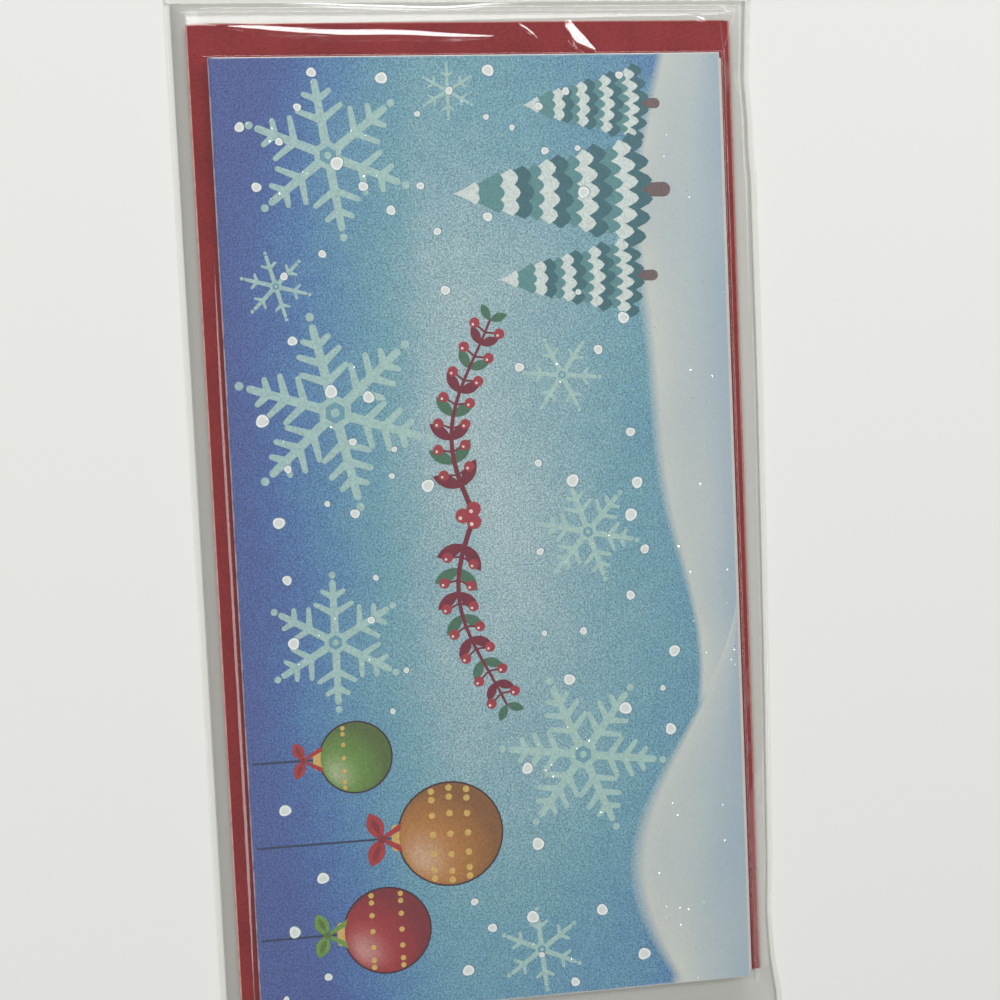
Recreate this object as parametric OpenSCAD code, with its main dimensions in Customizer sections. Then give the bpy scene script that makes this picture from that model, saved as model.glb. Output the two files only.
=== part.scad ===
// Folded gift card holder with its envelope, in a clear film sleeve.
// X runs along the card as it is read, Y from its free edge to its fold, Z out of the printed front.
// The set lies on its back, and the origin is under the middle of the card.

/* [Holder card] */
// Length of the folded card, along its fold
card_l = 167.5; // [165:0.5:168.5]
// Width of the folded card, from the fold to the free edge
card_w = 89; // [84:0.5:90]
// Thickness of the card stock
card_t = 0.3; // [0.2:0.05:0.4]
// Air above and below the front
cover_gap = 0.15; // [0.1:0.05:0.4]

/* [Pocket] */
// Space inside the pocket, for a plastic card 0.76 thick
pocket_gap = 0.9; // [0.85:0.05:1.4]
// Height of the pocket, from the spine
pocket_h = 56; // [50:1:66]
// How far each pocket end stands back from the card's end
pocket_inset = 0.9; // [0.5:0.1:2]
// How far the pocket's spine stands out past the front's free edge
spine_out = 0.6; // [0:0.1:1]
// Radius of the thumb notch
notch_r = 11; // [8:0.5:16]
// Width of each folded gusset
gusset_w = 4; // [3:0.5:6]

/* [Envelope] */
// Length of the envelope
env_l = 173.5; // [171:0.5:175]
// Width of the envelope
env_w = 95.25; // [93:0.25:96]
// How far the envelope's middle lies towards the card's right
env_shift_x = 3.3; // [0:0.1:3.5]
// How far the envelope's middle lies towards the card's fold
env_shift_y = 0.4; // [-0.5:0.1:0.5]
// Thickness of the envelope paper
paper_t = 0.12; // [0.09:0.01:0.15]
// Width of each end flap
end_flap_w = 24; // [15:1:40]
// Height of the back panel, from its fold
back_h = 70; // [55:1:80]
// Depth of the seal flap
seal_flap_h = 40; // [34:1:50]
// How far the seal flap's outer corners are drawn in
seal_taper = 16; // [8:1:30]
// Width of the gum strip
gum_w = 9; // [5:1:12]

/* [Sleeve] */
// Width of the flat sleeve
sleeve_w = 103; // [102:0.5:106]
// Film from the card's middle to the closed end
sleeve_closed = 93; // [91:0.5:100]
// Film from the card's middle to the mouth
sleeve_mouth = 93.5; // [92:0.5:100]
// Thickness of the film
film_t = 0.05; // [0.03:0.01:0.06]
// Width of each side weld
weld_w = 1; // [0.6:0.1:1.2]
// Length of the lip past its bend
lip_l = 30; // [20:1:45]
// Width of the sticky strip
strip_w = 5; // [3:0.5:8]

/* [Hidden] */

$fn = 32;

// Colours as the photo shows them
print_blue = "#5b86a8";
card_white = "#d9d9d4";
red_paper = "#8e3536";
glue_clear = "#cfc8b8";
gum_sheen = "#9c4a48";
film_clear = "#e6eaee";

// Air between loose pieces and between plies, and the thickness of glue and of the sticky strip
air = 0.1;
ply_air = 0.08;
env_air = 0.25;
glue_t = 0.03;
strip_t = 0.1;

// Undersides of the layers, from the film below to the film above
flap_z = film_t + air;
back_z = flap_z + paper_t + ply_air;
end_flap_z = back_z + paper_t + glue_t;
face_z = end_flap_z + paper_t + env_air;
card_z = face_z + paper_t + air;
gusset_z = card_z + card_t + glue_t;
pocket_z = card_z + card_t + pocket_gap;
cover_z = pocket_z + card_t + cover_gap;
top_film_z = cover_z + card_t + cover_gap;

// The top fold rolls round the middle of the whole card's thickness
fold_r = (cover_z + card_t - card_z) / 2;
fold_y = card_w / 2 - fold_r;

// The pocket's spine, its ends and its upper edge
spine_r = (pocket_z + card_t - card_z) / 2;
spine_y = -card_w / 2 - spine_out + spine_r;
pocket_x = card_l / 2 - pocket_inset;
pocket_top_y = spine_y + pocket_h;
// Share of the thumb notch's radius that is cut into the panel
notch_deep = 0.75;

// Each gusset is folded under the pocket and back again, and stops short of its two long edges
gusset_short = 2;
gusset_y0 = spine_y + gusset_short;
gusset_y1 = pocket_top_y - gusset_short;
gusset_x1 = pocket_x - card_t;
gusset_x0 = pocket_x - gusset_w;
gusset_r = (pocket_z - gusset_z) / 2;

// Outline of the envelope, and its creases
env_y0 = env_shift_y - env_w / 2;
env_y1 = env_shift_y + env_w / 2;
end_fold_r = (face_z + paper_t - end_flap_z) / 2;
back_fold_r = (face_z + paper_t - back_z) / 2;
back_fold_y = env_y1 - back_fold_r;
seal_fold_r = (face_z + paper_t - flap_z) / 2;
seal_fold_y = env_y0 + seal_fold_r;
face_x0 = env_shift_x - env_l / 2 + end_fold_r;
face_x1 = env_shift_x + env_l / 2 - end_fold_r;

// Cut-back corners of the envelope's flaps
back_inset = 2;
back_corner_r = 5;
end_flap_slope = 6;
end_flap_corner_r = 4;
end_flap_short = 0.6;
seal_corner_r = 9;
seam_w = 5;
seam_start = 5;
seam_short = 4;
gum_back = 3;

// The side welds lie flat beside the set, and the film on top slopes down to them
weld_y = sleeve_w / 2 - weld_w;
flange_z = 2 * film_t;
ramp_x0 = -sleeve_closed + weld_w;
ramp_x1 = -card_l / 2 - 2;
ramp_y = card_w / 2 + 0.8;
sliver = 0.001;

// The lip bends over the mouth in a half circle, as long as the strip of film that makes it
bend_r = (top_film_z + 2 * film_t + strip_t + film_t) / 2;
bend_l = PI * bend_r;
lip_x = sleeve_mouth + bend_l;
strip_back = 6;

// A flat sheet between two corners, with its underside at z
module sheet(x0, x1, y0, y1, z, t) {
    translate([x0, y0, z]) cube([x1 - x0, y1 - y0, t]);
}

// The half of a tube with x above zero, standing on z = 0. Pressed flat, its wall is as thick as its radius
module half_tube(h, r, t) {
    difference() {
        cylinder(h = h, r = r);
        if (t < r) {
            translate([0, 0, -1]) cylinder(h = h + 2, r = r - t);
        }
        translate([-2 * r, -2 * r, -1]) cube([2 * r, 4 * r, h + 2]);
    }
}

// A crease along X, bulging towards +Y, or towards -Y where side is -1
module crease_along_x(x0, x1, y, z, r, t, side) {
    translate([x0, y, z]) mirror([0, side < 0 ? 1 : 0, 0]) rotate([90, 0, 90])
        half_tube(x1 - x0, r, t);
}

// A crease along Y, bulging towards +X, or towards -X where side is -1
module crease_along_y(y0, y1, x, z, r, t, side) {
    translate([x, y0, z]) mirror([side < 0 ? 1 : 0, 0, 0]) rotate([-90, 0, 0])
        half_tube(y1 - y0, r, t);
}

module cover_panel() {
    color(print_blue) sheet(-card_l / 2, card_l / 2, -card_w / 2, fold_y, cover_z, card_t);
}

module top_fold() {
    color(print_blue)
        crease_along_x(-card_l / 2, card_l / 2, fold_y, card_z + fold_r, fold_r, card_t, 1);
}

module back_panel() {
    color(card_white) sheet(-card_l / 2, card_l / 2, spine_y, fold_y, card_z, card_t);
}

module pocket_fold() {
    color(card_white)
        crease_along_x(-pocket_x, pocket_x, spine_y, card_z + spine_r, spine_r, card_t, -1);
}

module pocket_panel() {
    color(card_white) difference() {
        sheet(-gusset_x1, gusset_x1, spine_y, pocket_top_y, pocket_z, card_t);
        translate([0, pocket_top_y + notch_r * (1 - notch_deep), pocket_z - 1])
            cylinder(h = card_t + 2, r = notch_r);
    }
}

// The pocket's end folds under it, and a second fold takes it back along the card
module gusset() {
    color(card_white) union() {
        crease_along_y(gusset_y0, gusset_y1, gusset_x1, pocket_z, card_t, card_t, 1);
        sheet(gusset_x0, gusset_x1, gusset_y0, gusset_y1, pocket_z - card_t, card_t);
        crease_along_y(gusset_y0, gusset_y1, gusset_x0, gusset_z + gusset_r, gusset_r, card_t, -1);
        sheet(gusset_x0, gusset_x1, gusset_y0, gusset_y1, gusset_z, card_t);
    }
}

module pocket_gusset_left() {
    mirror([1, 0, 0]) gusset();
}

module pocket_gusset_right() {
    gusset();
}

module gusset_glue() {
    color(glue_clear) for (side = [0, 1]) {
        mirror([side, 0, 0])
            sheet(gusset_x0, gusset_x1, gusset_y0, gusset_y1, card_z + card_t, glue_t);
    }
}

module envelope_face() {
    color(red_paper) sheet(face_x0, face_x1, seal_fold_y, back_fold_y, face_z, paper_t);
}

// The back panel narrows a little towards its rounded free corners
module envelope_back() {
    free_y = env_y1 - back_h;
    color(red_paper) translate([0, 0, back_z]) linear_extrude(paper_t) hull() {
        translate([face_x0, back_fold_y - 1]) square([face_x1 - face_x0, 1]);
        for (x = [face_x0 + back_inset + back_corner_r, face_x1 - back_inset - back_corner_r]) {
            translate([x, free_y + back_corner_r]) circle(r = back_corner_r);
        }
    }
}

module envelope_back_fold() {
    color(red_paper)
        crease_along_x(face_x0, face_x1, back_fold_y, back_z + back_fold_r, back_fold_r, paper_t, 1);
}

// An end flap folded in under the back panel, drawn for the right end and then set in place
module end_flap(hinge_x, side) {
    y0 = seal_fold_y + end_flap_short;
    y1 = back_fold_y - end_flap_short;
    reach = end_flap_w - end_flap_corner_r;
    color(red_paper) translate([hinge_x, 0, end_flap_z]) mirror([side < 0 ? 1 : 0, 0, 0])
        linear_extrude(paper_t) hull() {
            translate([-1, y0]) square([1, y1 - y0]);
            for (y = [y0 + end_flap_slope + end_flap_corner_r, y1 - end_flap_slope - end_flap_corner_r]) {
                translate([-reach, y]) circle(r = end_flap_corner_r);
            }
        }
}

module envelope_left_flap() {
    end_flap(face_x0, -1);
}

module envelope_right_flap() {
    end_flap(face_x1, 1);
}

module end_fold(x, side) {
    y0 = seal_fold_y + end_flap_short;
    y1 = back_fold_y - end_flap_short;
    color(red_paper)
        crease_along_y(y0, y1, x, end_flap_z + end_fold_r, end_fold_r, paper_t, side);
}

module envelope_left_fold() {
    end_fold(face_x0, -1);
}

module envelope_right_fold() {
    end_fold(face_x1, 1);
}

module envelope_seam_glue() {
    y0 = env_y1 - back_h + 2 * seam_short;
    y1 = back_fold_y - 2 * seam_short;
    color(glue_clear) {
        sheet(face_x0 + seam_start, face_x0 + seam_start + seam_w, y0, y1, back_z + paper_t, glue_t);
        sheet(face_x1 - seam_start - seam_w, face_x1 - seam_start, y0, y1, back_z + paper_t, glue_t);
    }
}

module seal_flap() {
    reach_y = seal_fold_y + seal_flap_h - seal_corner_r;
    color(red_paper) translate([0, 0, flap_z]) linear_extrude(paper_t) hull() {
        translate([face_x0, seal_fold_y]) square([face_x1 - face_x0, 1]);
        for (x = [face_x0 + seal_taper + seal_corner_r, face_x1 - seal_taper - seal_corner_r]) {
            translate([x, reach_y]) circle(r = seal_corner_r);
        }
    }
}

module seal_flap_fold() {
    color(red_paper)
        crease_along_x(face_x0, face_x1, seal_fold_y, flap_z + seal_fold_r, seal_fold_r, paper_t, -1);
}

module seal_gum() {
    y1 = seal_fold_y + seal_flap_h - gum_back;
    inset = seal_taper + seal_corner_r;
    color(gum_sheen)
        sheet(face_x0 + inset, face_x1 - inset, y1 - gum_w, y1, flap_z + paper_t, glue_t);
}

// A solid with a flat top and sloping sides, cut off square past the mouth
module tent(drop, past_mouth) {
    x1 = sleeve_mouth + past_mouth;
    hull() {
        sheet(ramp_x0, x1, -weld_y, weld_y, flange_z - drop, sliver);
        sheet(ramp_x1, x1, -ramp_y, ramp_y, top_film_z + film_t - drop - sliver, sliver);
    }
}

module sleeve_front_film() {
    color(film_clear, 0.3) union() {
        difference() {
            tent(0, 0);
            tent(film_t, 1);
        }
        sheet(-sleeve_closed, sleeve_mouth, weld_y - film_t, sleeve_w / 2, flange_z, film_t);
        sheet(-sleeve_closed, sleeve_mouth, -sleeve_w / 2, -weld_y + film_t, flange_z, film_t);
        sheet(-sleeve_closed, ramp_x0 + film_t, -weld_y, weld_y, flange_z, film_t);
    }
}

module sleeve_back_film() {
    color(film_clear, 0.3)
        sheet(-sleeve_closed, sleeve_mouth, -sleeve_w / 2, sleeve_w / 2, 0, film_t);
}

module sleeve_top_seal() {
    color(film_clear, 0.6)
        sheet(-sleeve_closed, sleeve_mouth, weld_y, sleeve_w / 2, film_t, flange_z - film_t);
}

module sleeve_bottom_seal() {
    color(film_clear, 0.6)
        sheet(-sleeve_closed, sleeve_mouth, -sleeve_w / 2, -weld_y, film_t, flange_z - film_t);
}

module sleeve_end_fold() {
    r = (flange_z + film_t) / 2;
    color(film_clear, 0.6)
        crease_along_y(-sleeve_w / 2, sleeve_w / 2, -sleeve_closed, r, r, film_t, -1);
}

module sleeve_lip_fold() {
    color(film_clear, 0.3)
        sheet(sleeve_mouth, lip_x, -sleeve_w / 2, sleeve_w / 2, 0, film_t);
}

module sleeve_lip() {
    color(film_clear, 0.3)
        sheet(lip_x, lip_x + lip_l, -sleeve_w / 2, sleeve_w / 2, 0, film_t);
}

module adhesive_strip() {
    x1 = lip_x + lip_l - strip_back;
    color(glue_clear, 0.6)
        sheet(x1 - strip_w, x1, -sleeve_w / 2 + weld_w, sleeve_w / 2 - weld_w, film_t, strip_t);
}

cover_panel();
top_fold();
back_panel();
pocket_fold();
pocket_panel();
pocket_gusset_left();
pocket_gusset_right();
gusset_glue();
envelope_face();
envelope_back();
envelope_back_fold();
envelope_left_flap();
envelope_right_flap();
envelope_left_fold();
envelope_right_fold();
envelope_seam_glue();
seal_flap();
seal_flap_fold();
seal_gum();
sleeve_front_film();
sleeve_back_film();
sleeve_top_seal();
sleeve_bottom_seal();
sleeve_end_fold();
sleeve_lip_fold();
sleeve_lip();
adhesive_strip();
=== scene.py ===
"""A folded gift card holder and its envelope, in a clear film sleeve."""
import math
import random

import bmesh
import bpy
import numpy as np
from mathutils import Matrix, Vector, noise


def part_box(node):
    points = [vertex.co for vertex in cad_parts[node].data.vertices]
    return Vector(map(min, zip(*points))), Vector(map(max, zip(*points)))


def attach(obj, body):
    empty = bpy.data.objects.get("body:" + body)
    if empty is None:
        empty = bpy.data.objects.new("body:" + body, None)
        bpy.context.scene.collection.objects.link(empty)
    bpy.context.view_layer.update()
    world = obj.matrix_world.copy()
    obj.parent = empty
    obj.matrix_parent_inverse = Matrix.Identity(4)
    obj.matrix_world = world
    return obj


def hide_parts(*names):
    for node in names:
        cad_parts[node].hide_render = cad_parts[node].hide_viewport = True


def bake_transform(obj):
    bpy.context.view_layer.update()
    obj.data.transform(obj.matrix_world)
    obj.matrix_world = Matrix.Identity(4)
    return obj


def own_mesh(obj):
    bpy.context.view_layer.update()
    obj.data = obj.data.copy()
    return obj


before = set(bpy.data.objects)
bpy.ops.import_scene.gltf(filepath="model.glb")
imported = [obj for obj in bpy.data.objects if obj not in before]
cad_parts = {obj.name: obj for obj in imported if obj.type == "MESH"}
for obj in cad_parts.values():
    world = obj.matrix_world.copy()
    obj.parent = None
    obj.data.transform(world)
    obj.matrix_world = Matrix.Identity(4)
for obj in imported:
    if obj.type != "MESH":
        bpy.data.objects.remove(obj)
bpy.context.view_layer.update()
mm = 0.001


# The holder's front
# A sheet of coated card, 0.3 mm thick, printed in watercolour blues on its outside and bare inside.
# It is die cut, so the ink stops at a pale rounded lip, and handling has rubbed it at the edges.
card_low, card_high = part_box("cover_panel")
crease_low, crease_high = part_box("top_fold")
half_length = card_high.x / mm
free_edge = card_low.y / mm
fold_edge = crease_high.y / mm
front_top = card_high.z / mm
cut_lip = 0.2
indigo = "#4c5d97"
mid_blue = "#4a78ad"
teal = "#6f9fae"
glow = "#abbfc2"
worn_core = "#cfcdd6"
card_white = "#e3e2dd"
card_shade = "#d6d5cf"


def linear(code):
    """An sRGB hex colour as the linear colour that a shader takes."""
    parts = [int(code[i:i + 2], 16) / 255 for i in (1, 3, 5)]
    return (*[c / 12.92 if c <= 0.04045 else ((c + 0.055) / 1.055) ** 2.4 for c in parts], 1)


def add(tree, kind, inputs=None, **settings):
    """A node with its settings. Each input takes a plain value, or another node's output."""
    made = tree.nodes.new(kind)
    for name, value in settings.items():
        setattr(made, name, value)
    for socket, value in (inputs or {}).items():
        if isinstance(value, bpy.types.NodeSocket):
            tree.links.new(value, made.inputs[socket])
        else:
            made.inputs[socket].default_value = value
    return made


def new_material(name):
    """An empty material and its node tree."""
    made = bpy.data.materials.new(name)
    made.use_nodes = True
    made.node_tree.nodes.clear()
    return made, made.node_tree


def place_in_mm(tree):
    """The point being shaded, in the part's frame, in millimetres."""
    place = add(tree, "ShaderNodeTexCoord").outputs["Object"]
    return add(tree, "ShaderNodeVectorMath", {0: place, "Scale": 1 / mm}, operation="SCALE").outputs[0]


def grains(tree, place, size, detail=1.0, low=0.35, high=0.65):
    """Noise from 0 to 1 whose grains are size mm across, cut off below low and above high."""
    rough = add(tree, "ShaderNodeTexNoise", {"Vector": place, "Scale": 1 / size, "Detail": detail})
    return add(tree, "ShaderNodeMapRange", {0: rough.outputs[0], 1: low, 2: high}).outputs[0]


def watercolour(tree, place):
    """The blue wash of the front: deep along the fold and at the ends, with a pale glow in the middle."""
    x, y, _ = add(tree, "ShaderNodeSeparateXYZ", {0: place}).outputs
    drift = add(tree, "ShaderNodeTexNoise", {"Vector": place, "Scale": 1 / 42, "Detail": 1}).outputs["Color"]
    drift = add(tree, "ShaderNodeVectorMath", {0: drift, 1: (0.5, 0.5, 0.5)}, operation="SUBTRACT").outputs[0]
    bent = add(tree, "ShaderNodeVectorMath", {0: drift, 1: (34, 34, 34), 2: place},
               operation="MULTIPLY_ADD").outputs[0]
    glow_middle = (14, 1, 0)
    glow_spread = (1 / 100, 1 / 30, 0)
    middle = add(tree, "ShaderNodeVectorMath", {0: bent, 1: glow_middle}, operation="SUBTRACT").outputs[0]
    middle = add(tree, "ShaderNodeVectorMath", {0: middle, 1: glow_spread}, operation="MULTIPLY").outputs[0]
    away = add(tree, "ShaderNodeVectorMath", {0: middle}, operation="LENGTH").outputs["Value"]
    away = add(tree, "ShaderNodeMapRange", {0: away, 1: 0.1, 2: 1.9, 3: 0.05, 4: 0.62}).outputs[0]
    rise = add(tree, "ShaderNodeMapRange", {0: y, 1: 9, 2: fold_edge, 4: 0.40}).outputs[0]
    end = add(tree, "ShaderNodeMath", {0: x}, operation="ABSOLUTE").outputs[0]
    end = add(tree, "ShaderNodeMapRange", {0: end, 1: 50, 2: half_length, 4: 0.08}).outputs[0]
    # The sponge left cells about 4 mm across, and its pores a grain of 0.4 mm
    cells = grains(tree, place, 4, detail=3)
    pores = grains(tree, place, 0.4, detail=2, low=0.33, high=0.67)
    depth = add(tree, "ShaderNodeMath", {0: away, 1: rise}).outputs[0]
    depth = add(tree, "ShaderNodeMath", {0: depth, 1: end}).outputs[0]
    depth = add(tree, "ShaderNodeMath", {0: cells, 1: 0.05, 2: depth}, operation="MULTIPLY_ADD").outputs[0]
    depth = add(tree, "ShaderNodeMath", {0: pores, 1: 0.10, 2: depth}, operation="MULTIPLY_ADD").outputs[0]
    wash = add(tree, "ShaderNodeValToRGB", {0: depth})
    wash.color_ramp.interpolation = "B_SPLINE"
    stops = wash.color_ramp.elements
    stops[0].position, stops[0].color = 0.12, linear(glow)
    stops[1].position, stops[1].color = 1.0, linear(indigo)
    for position, colour in ((0.34, teal), (0.46, teal), (0.68, mid_blue), (0.86, indigo)):
        stops.new(position).color = linear(colour)
    return sponged(tree, place, wash.outputs[0])


def sponged(tree, place, ink):
    """Ink dabbed on with a sponge: its grain is 0.3 mm across, drawn as strong as the print shows it."""
    grain = grains(tree, place, 0.3, detail=2, low=0.34, high=0.66)
    tone = add(tree, "ShaderNodeMapRange", {0: grain, 3: 0.64, 4: 1.44}).outputs[0]
    return add(tree, "ShaderNodeVectorMath", {0: ink, "Scale": tone}, operation="SCALE").outputs[0]


def tooth(tree, place, strength):
    """The fine tooth of card and paper, in grains of 0.25 mm, as a normal."""
    grain = add(tree, "ShaderNodeTexNoise", {"Vector": place, "Scale": 1 / 0.25, "Detail": 2}).outputs[0]
    bump = {"Strength": strength, "Distance": 0.02 * mm, "Height": grain}
    return add(tree, "ShaderNodeBump", bump).outputs[0]


# Watercolour inks printed on coated card: matt, with a soft sheen, and rubbed white along the edges
printed_card, tree = new_material("printed_coated_card")
place = place_in_mm(tree)
x, y, _ = add(tree, "ShaderNodeSeparateXYZ", {0: place}).outputs
rubbed = 0.7
to_end = add(tree, "ShaderNodeMath", {0: x}, operation="ABSOLUTE").outputs[0]
to_end = add(tree, "ShaderNodeMapRange", {0: to_end, 1: half_length - rubbed, 2: half_length}).outputs[0]
to_free = add(tree, "ShaderNodeMapRange", {0: y, 1: free_edge + rubbed, 2: free_edge}).outputs[0]
to_fold = add(tree, "ShaderNodeMapRange", {0: y, 1: fold_edge - 0.55, 2: fold_edge - 0.1, 4: 1.15}).outputs[0]
edge = add(tree, "ShaderNodeMath", {0: to_end, 1: to_free}, operation="MAXIMUM").outputs[0]
edge = add(tree, "ShaderNodeMath", {0: edge, 1: to_fold}, operation="MAXIMUM").outputs[0]
rub = add(tree, "ShaderNodeTexNoise", {"Vector": place, "Scale": 1 / 2.5, "Detail": 3}).outputs[0]
rub = add(tree, "ShaderNodeMapRange", {0: rub, 1: 0.3, 2: 0.65, 3: 0.45, 4: 0.95}).outputs[0]
worn = add(tree, "ShaderNodeMath", {0: edge, 1: rub}, operation="MULTIPLY").outputs[0]
worn = add(tree, "ShaderNodeMapRange", {0: worn, 1: 0.3, 2: 0.9, 4: 0.85}).outputs[0]
ink = add(tree, "ShaderNodeMix", {0: worn, 6: watercolour(tree, place), 7: linear(worn_core)},
          data_type="RGBA")
gloss = add(tree, "ShaderNodeMapRange", {0: grains(tree, place, 0.8), 3: 0.5, 4: 0.62}).outputs[0]
surface = add(tree, "ShaderNodeBsdfPrincipled", {
    "Base Color": ink.outputs[2], "Roughness": gloss, "Normal": tooth(tree, place, 0.12)})
add(tree, "ShaderNodeOutputMaterial", {0: surface.outputs[0]})

# Bare white card: fibres give it a faint mottle of 0.6 mm and a dry, matt tooth
bare_card, tree = new_material("uncoated_white_card")
place = place_in_mm(tree)
fibre = add(tree, "ShaderNodeMapping", {"Vector": place, "Scale": (0.4, 1.0, 1.0)}).outputs[0]
mottle = grains(tree, fibre, 0.6, detail=3, low=0.3, high=0.7)
white = add(tree, "ShaderNodeMix", {0: mottle, 6: linear(card_shade), 7: linear(card_white)},
            data_type="RGBA")
surface = add(tree, "ShaderNodeBsdfPrincipled", {
    "Base Color": white.outputs[2], "Roughness": 0.78, "Normal": tooth(tree, place, 0.3)})
add(tree, "ShaderNodeOutputMaterial", {0: surface.outputs[0]})


def make_piece(name, bm, materials, smooth=False):
    """A finished bmesh as an object at the origin, with its finishes."""
    mesh = bpy.data.meshes.new(name)
    bm.to_mesh(mesh)
    bm.free()
    for face in mesh.polygons:
        face.use_smooth = smooth
    for material in materials:
        mesh.materials.append(material)
    made = bpy.data.objects.new(name, mesh)
    bpy.context.scene.collection.objects.link(made)
    return made


bm = bmesh.new()
bmesh.ops.create_cube(bm, size=1)
bmesh.ops.scale(bm, vec=card_high - card_low, verts=bm.verts)
bmesh.ops.translate(bm, vec=(card_high + card_low) / 2, verts=bm.verts)
rim = [e for e in bm.edges if all(v.co.z > card_high.z - 0.01 * mm for v in e.verts)
       and not all(v.co.y > card_high.y - 0.01 * mm for v in e.verts)]
bmesh.ops.bevel(bm, geom=rim, offset=cut_lip * mm, affect="EDGES", segments=3, profile=0.5, material=-1)
for face in bm.faces:
    face.material_index = 0 if face.normal.z > 0.999 else 1
cover = make_piece("cover_sheet", bm, [printed_card, bare_card])
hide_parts("cover_panel")
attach(cover, "cover")


# The top fold
# The same sheet rolls round from the front to the back here, scored on the inside so that it bends.
# The ink cracks along its crest and shows the white core.
crease_steps = 20
length_steps = 60
wall = card_high.z - card_low.z
crest = (crease_high.z - crease_low.z) / 2


def rolled_crease(start, length, edge, low, radius, bulge, thick):
    """Sheet rolled round in half a tube, from start along X. edge and low are where it leaves the lower
    panel in Y and Z. bulge is 1 where it swells towards +Y, and -1 towards -Y."""
    bm = bmesh.new()
    arc = []
    for i in range(crease_steps + 1):
        turn = math.pi * i / crease_steps
        corner = (start, edge + bulge * radius * math.sin(turn), low + radius * (1 - math.cos(turn)))
        arc.append(bm.verts.new(corner))
    lines = [bm.edges.new(pair) for pair in zip(arc, arc[1:])]
    for step in range(length_steps):
        rolled = bmesh.ops.extrude_edge_only(bm, edges=lines)["geom"]
        moved = [g for g in rolled if isinstance(g, bmesh.types.BMVert)]
        lines = [g for g in rolled if isinstance(g, bmesh.types.BMEdge) and all(v in moved for v in g.verts)]
        bmesh.ops.translate(bm, vec=(length / length_steps, 0, 0), verts=moved)
    bm.normal_update()
    middle = max(bm.faces, key=lambda f: bulge * f.calc_center_median().y)
    if bulge * middle.normal.y < 0:
        bmesh.ops.reverse_faces(bm, faces=bm.faces)
    bmesh.ops.solidify(bm, geom=bm.faces[:], thickness=thick)
    return bm


bm = rolled_crease(-half_length * mm, 2 * half_length * mm, card_high.y, crease_low.z, crest, 1, wall)
for face in bm.faces:
    at = face.calc_center_median()
    reach = math.hypot(at.y - card_high.y, at.z - crease_low.z - crest)
    face.material_index = 0 if reach > crest - 0.05 * mm else 1
fold = make_piece("rolled_top_fold", bm, [printed_card, bare_card], smooth=True)
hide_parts("top_fold")
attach(fold, "card")
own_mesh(fold)


# The printed scene
# Opaque inks over the wash: snow drifts, fir trees, flakes, glass balls on threads and a berry twig.
# Each shape is a plate of ink a few hundredths of a millimetre thick, and its points carry its colour.
ink_sink = 0.01
round_steps = 6
snow_light = linear("#cdd0c9")
snow_blue = linear("#a3b7c3")
snow_deep = linear("#8ea6bd")


def new_plates():
    """An empty bmesh whose points carry an ink colour."""
    bm = bmesh.new()
    bm.verts.layers.float_color.new("ink")
    return bm


def lay_ink(bm, outline, height, colour):
    """One plate of ink with this outline in mm. It stands height mm above the card."""
    layer = bm.verts.layers.float_color["ink"]
    corners = [bm.verts.new((x * mm, y * mm, (front_top - ink_sink) * mm)) for x, y in outline]
    face = bm.faces.new(corners)
    raised = bmesh.ops.extrude_face_region(bm, geom=[face])["geom"]
    tops = [g for g in raised if isinstance(g, bmesh.types.BMVert)]
    bmesh.ops.translate(bm, vec=(0, 0, (height + ink_sink) * mm), verts=tops)
    for v in corners + tops:
        v[layer] = colour


def disc(x, y, radius, steps=20, uneven=0.0):
    """The outline of a round dot. uneven pulls it out of round, as a brush does."""
    turns = [2 * math.pi * i / steps for i in range(steps)]
    pulls = [1 + uneven * math.sin(2 * a + x) + uneven * math.sin(3 * a + y) for a in turns]
    return [(x + radius * k * math.cos(a), y + radius * k * math.sin(a)) for a, k in zip(turns, pulls)]


def dab(start, end, width, tip):
    """The outline of a brush dab with round ends, width mm across at its start and tip mm at its end."""
    lean = math.atan2(end[1] - start[1], end[0] - start[0])
    outline = []
    for (x, y), across, back in ((start, width, math.pi), (end, tip, 0)):
        for i in range(round_steps + 1):
            a = lean + back - math.pi / 2 + math.pi * i / round_steps
            outline.append((x + across / 2 * math.cos(a), y + across / 2 * math.sin(a)))
    return outline


def leaf(start, end, width, steps=8):
    """The outline of a leaf with two sharp ends."""
    run = Vector(end) - Vector(start)
    across = Vector((-run.y, run.x)).normalized() * width / 2
    edges = []
    for side in (1, -1):
        for i in range(steps):
            t = i / steps if side > 0 else 1 - i / steps
            edges.append(tuple(Vector(start) + run * t + across * side * math.sin(math.pi * t) ** 0.8))
    return edges


def blend_colour(a, b, share):
    """A colour between two."""
    return tuple(p + (q - p) * share for p, q in zip(a, b))


def polar(centre, angle, reach):
    """A point at this angle and distance from a centre."""
    return centre[0] + reach * math.cos(angle), centre[1] + reach * math.sin(angle)


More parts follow.
